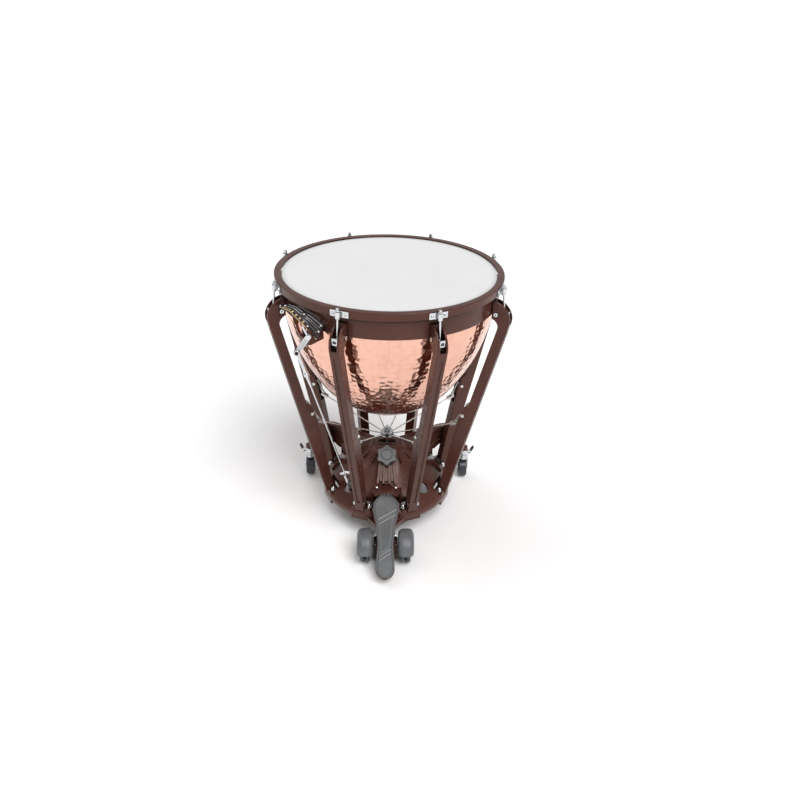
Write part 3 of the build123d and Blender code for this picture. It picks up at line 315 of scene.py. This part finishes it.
def swept(points, radius, closed=False, steps=10):
    """Rows of a round bar along points."""
    rows = []
    count = len(points)
    for i in range(count + 1 if closed else count):
        here = points[i % count]
        before = points[(i - 1) % count] if closed or i else here
        after = points[(i + 1) % count] if closed or i < count - 1 else here
        along = (after - before).normalized()
        side = along.cross(Vector((0.2, 0.5, 0.84))).normalized()
        other = along.cross(side)
        rows.append([here + radius * (side * cos(2 * pi * j / steps) + other * sin(2 * pi * j / steps))
                     for j in range(steps)])
    return rows


def joined(name, groups):
    """One mesh out of several closed row sets."""
    whole = bmesh.new()
    for number, rows in enumerate(groups):
        part = grid_mesh(f"{name}_{number}", rows, closed=True)
        whole.from_mesh(part)
        bpy.data.meshes.remove(part)
    bmesh.ops.holes_fill(whole, edges=[e for e in whole.edges if e.is_boundary], sides=0)
    bmesh.ops.recalc_face_normals(whole, faces=whole.faces)
    mesh = bpy.data.meshes.new(name)
    whole.to_mesh(mesh)
    whole.free()
    return mesh


def step(x, low, high):
    t = min(1.0, max(0.0, (x - low) / (high - low)))
    return t * t * (3 - 2 * t)


def between(x, low, high, soft=0.9):
    return step(x, low - soft, low + soft) * (1 - step(x, high - soft, high + soft))


SOLE_WIDTHS = ((-0.120, 0.0291), (-0.044, 0.0252), (0.020, 0.0303), (0.092, 0.0426))


def sole_half_width(u):
    """Half width of the pad at u along the sole, from the heel to the toe."""
    if u <= SOLE_WIDTHS[0][0]:
        return SOLE_WIDTHS[0][1] * sqrt(max(0.0, 1 - ((SOLE_WIDTHS[0][0] - u) / 0.0380) ** 2))
    if u >= SOLE_WIDTHS[-1][0]:
        return SOLE_WIDTHS[-1][1] * sqrt(max(0.0, 1 - ((u - SOLE_WIDTHS[-1][0]) / 0.0510) ** 2))
    for (u0, w0), (u1, w1) in zip(SOLE_WIDTHS, SOLE_WIDTHS[1:]):
        if u <= u1:
            return w0 + (w1 - w0) * step(u, u0, u1)


def pad_relief(u, v, edge):
    """Height pattern of the pad in mm: a border, two slanting double bars and grooves between them."""
    toe_bar = u - 0.66 * v - 46
    heel_bar = u - 0.75 * v + 84
    inner = step(edge, 5.6, 6.8)
    relief = -1.3 * between(edge, 4.4, 6.4, 0.6)
    relief += 0.8 * inner * (between(toe_bar, 0, 3.5) + between(toe_bar, 18, 22.5))
    relief += 0.8 * inner * (between(heel_bar, 0, 3.0) + between(heel_bar, 13, 16.5))
    grooved = inner * step(-toe_bar, 3, 8) * step(heel_bar, 19, 24)
    for number in (-2, -1, 0, 1, 2):
        middle = number * (6.2 + 0.035 * u)
        relief += 1.0 * grooved * between(v, middle - 1.4, middle + 1.4, 0.6)
    return relief - 0.5 * inner


tilt_up = Vector((0, -sin(PEDAL_TILT), cos(PEDAL_TILT)))
tilt_along = Vector((0, cos(PEDAL_TILT), sin(PEDAL_TILT)))
PAD_ROWS, PAD_COLUMNS = 230, 72
PAD_HEEL, PAD_TOE = -0.1579, 0.1429
RELIEF = 2.2
pad_rows = []
for i in range(PAD_ROWS + 1):
    # rows crowd together at the rounded heel and toe
    u = PAD_HEEL + (PAD_TOE - PAD_HEEL) * (0.5 - 0.5 * cos(pi * i / PAD_ROWS))
    half = max(0.0004, sole_half_width(u))
    end = min(u - PAD_HEEL, PAD_TOE - u) + 0.0001
    row = []
    for j in range(PAD_COLUMNS + 1):
        across = -cos(pi * j / PAD_COLUMNS)
        v = half * across
        edge = min(half - abs(v), 1.6 * end + 0.0001) * 1000
        height = PAD_THICK * 1000 * step(edge, -2.2, 2.4) + RELIEF * pad_relief(u * 1000, v * 1000, edge)
        row.append(PEDAL_PIN + tilt_along * u + tilt_up * (SOLE_TOP + height / 1000) + Vector((v, 0, 0)))
    foot = SOLE_TOP + 0.0001
    bottom = PEDAL_PIN + tilt_along * u + tilt_up * foot
    pad_rows.append([bottom - Vector((half, 0, 0))] + row + [bottom + Vector((half, 0, 0))])
piece("pad_tread", grid_mesh("pad_tread", pad_rows, closed=True), "pedal", "grey_rubber", ["pedal_pad"])

for side, sign in (("left", -1), ("right", 1)):
    sleeve = [(0.0143, 0.1052), (0.0166, 0.1052), (0.0174, 0.1062), (0.0174, 0.1080), (0.0160, 0.1092),
              (0.0160, 0.1215), (0.0168, 0.1228), (0.0168, 0.1252), (0.0158, 0.1262), (0.0143, 0.1262)]
    rows = turned(sleeve, (sign * REAR_STEM[0], REAR_STEM[1], 0), (0, 0, 1), 64)
    piece(f"stem_sleeve_{side}", grid_mesh(f"stem_sleeve_{side}", rows, closed=True), "chassis", "chrome")


def rail_point(t, across, lift):
    """Point on the gauge rail: t counts its sections, across runs from -1 to 1 over its width."""
    whole = min(int(t), len(RAIL) - 2)
    share = t - whole
    angle, radius, z, half, tilt = (a + (b - a) * share for a, b in zip(RAIL[whole], RAIL[whole + 1]))
    slant = radians(tilt)
    out = across * half
    r = radius + out * cos(slant) - lift * sin(slant)
    height = z + out * sin(slant) + lift * cos(slant)
    turn = radians(angle)
    return Vector((r * cos(turn), AXIS_Y + r * sin(turn), height))


FACE = 0.0042            # just above the rail's face
edge_wire = [rail_point(4 * i / 60, 0.96, FACE - 0.0002) for i in range(61)]
piece("rail_edging", joined("rail_edging", [swept(edge_wire, 0.0012)]), "chassis", "note_brass")
frames = []
# each slot's start and end along the rail, and its two sides across it
SLOTS = ((1.15, 2.55, -0.62, -0.12), (2.75, 3.85, -0.72, -0.30), (2.75, 3.85, -0.05, 0.34))
for low, high, near, far in SLOTS:
    ring = [rail_point(low + (high - low) * i / 16, near, FACE) for i in range(17)]
    ring += [rail_point(high - (high - low) * i / 16, far, FACE) for i in range(17)]
    frames.append(swept(ring, 0.0009, closed=True))
piece("rail_slots", joined("rail_slots", frames), "chassis", "chrome")
screw = [(0.0002, 0.0030), (0.0022, 0.0029), (0.0034, 0.0020), (0.0036, 0.0008), (0.0036, -0.0012)]
screws = []
for t, across in ((0.25, 0.1), (1.05, 0.15), (2.65, -0.4), (3.2, 0.65), (3.93, 0.1), (3.9, -0.62)):
    place = rail_point(t, across, FACE)
    screws.append(turned(screw, place, rail_point(t, across, FACE + 0.01) - place, 20))
piece("rail_screws", joined("rail_screws", screws), "chassis", "chrome")

# collar and socket screw where the gauge's rod hangs on its lever
LEVER_FRONT_Y = AXIS_Y - 0.3513
TO_PLAYER = (0, -1, 0)
swivel = (GAUGE_TOP.x, LEVER_FRONT_Y, GAUGE_TOP.z)
collar = [(0.0034, 0.0002), (0.0086, 0.0002), (0.0092, 0.0010), (0.0092, 0.0034),
          (0.0084, 0.0044), (0.0052, 0.0044), (0.0034, 0.0030)]
collar_mesh = grid_mesh("swivel_collar", turned(collar, swivel, TO_PLAYER, 40), True)
piece("swivel_collar", collar_mesh, "gauge_arm", "chrome")
socket = [(0.0050, 0.0034), (0.0050, 0.0060), (0.0042, 0.0070),
          (0.0024, 0.0070), (0.0022, 0.0046), (0.0003, 0.0044)]
screw_mesh = joined("swivel_screw", [turned(socket, swivel, TO_PLAYER, 28)])
piece("swivel_screw", screw_mesh, "gauge_arm", "black_coat")

# domed nuts on the studs of the strut feet
NUT_R, NUT_SIDE, NUT_Z = 0.208, 0.025, 0.1182
dome = [(0.0042, 0.0), (0.0082, 0.0), (0.0084, 0.0012), (0.0082, 0.0024), (0.0070, 0.0030), (0.0072, 0.0072),
        (0.0066, 0.0104), (0.0050, 0.0132), (0.0028, 0.0148), (0.0003, 0.0153)]
nuts = []
for k in range(8):
    turn = radians(22.5 + 45 * k)
    for sign in (-1, 1):
        x = NUT_R * cos(turn) - sign * NUT_SIDE * sin(turn)
        y = NUT_R * sin(turn) + sign * NUT_SIDE * cos(turn)
        nuts.append(turned(dome, (x, AXIS_Y + y, NUT_Z), (0, 0, 1), 28))
piece("domed_nuts", joined("domed_nuts", nuts), "chassis", "chrome", ["foot_nuts"])

# bright screws under the knob's ridges and beside the toe of the pedal
plinth_screw = [(0.0002, 0.0042), (0.0030, 0.0040), (0.0046, 0.0028), (0.0050, 0.0010), (0.0050, -0.0040)]
screws = []
for x in (-0.032, 0.032):
    screws.append(turned(plinth_screw, (x, AXIS_Y - 0.150, 0.163), (0, -0.67, 0.74), 24))
piece("plinth_screws", joined("plinth_screws", screws), "chassis", "chrome")

# ------------------------------------------------------------------ floor, light, camera
FLOOR_REACH = 70
floor_mesh = bmesh.new()
bmesh.ops.create_grid(floor_mesh, x_segments=8, y_segments=8, size=FLOOR_REACH)
floor_data = bpy.data.meshes.new("floor")
floor_mesh.to_mesh(floor_data)
floor_mesh.free()
floor = bpy.data.objects.new("floor", floor_data)
bpy.context.scene.collection.objects.link(floor)
paper = Shader("studio paper", (0.93, 0.93, 0.93), 0.0, 0.85)
clouds = paper.ramp(paper.noise(3, 3), 0.3, 0.7)
paper.set("Base Color", paper.mix(clouds, (0.92, 0.92, 0.92), (0.94, 0.94, 0.94)))
floor_data.materials.append(paper.material)

world = bpy.data.worlds.new("studio")
bpy.context.scene.world = world
world.use_nodes = True
sky = world.node_tree
direction = sky.nodes.new("ShaderNodeTexCoord")
height = sky.nodes.new("ShaderNodeSeparateXYZ")
fade = sky.nodes.new("ShaderNodeMapRange")
fade.inputs["From Min"].default_value = 0.05
fade.inputs["From Max"].default_value = 0.95
fade.inputs["To Min"].default_value = 0.72
fade.inputs["To Max"].default_value = 0.22
sky.links.new(direction.outputs["Generated"], height.inputs[0])
sky.links.new(height.outputs[2], fade.inputs["Value"])
sky.links.new(fade.outputs[0], sky.nodes["Background"].inputs["Strength"])
sky.nodes["Background"].inputs["Color"].default_value = (1, 1, 1, 1)


def sun(name, toward, strength, spread):
    """Soft sun shining along toward."""
    data = bpy.data.lights.new(name, "SUN")
    data.energy = strength
    data.angle = radians(spread)
    light = bpy.data.objects.new(name, data)
    light.rotation_mode = "QUATERNION"
    light.rotation_quaternion = Vector(toward).to_track_quat("-Z", "Y")
    bpy.context.scene.collection.objects.link(light)


sun("key", (-0.35, 0.65, -1.0), 2.5, 40)
sun("rim", (0.5, -0.25, -1.0), 0.75, 50)

camera_data = bpy.data.cameras.new("camera")
camera_data.sensor_width = 36
camera_data.lens = 36.77
camera = bpy.data.objects.new("camera", camera_data)
CAMERA_AT = (0, -2.372, 1.752)
YAW, PITCH, ROLL = radians(0.99), radians(28.91), radians(1.35)
forward = Vector((sin(YAW) * cos(PITCH), cos(YAW) * cos(PITCH), -sin(PITCH)))
level_right = forward.cross(Vector((0, 0, 1))).normalized()
level_up = level_right.cross(forward)
right = cos(ROLL) * level_right + sin(ROLL) * level_up
up = cos(ROLL) * level_up - sin(ROLL) * level_right
turned_to = Matrix((right, up, -forward)).transposed().to_4x4()
camera.matrix_world = Matrix.Translation(CAMERA_AT) @ turned_to
bpy.context.scene.collection.objects.link(camera)
bpy.context.scene.camera = camera
bpy.context.scene.view_settings.view_transform = "Standard"
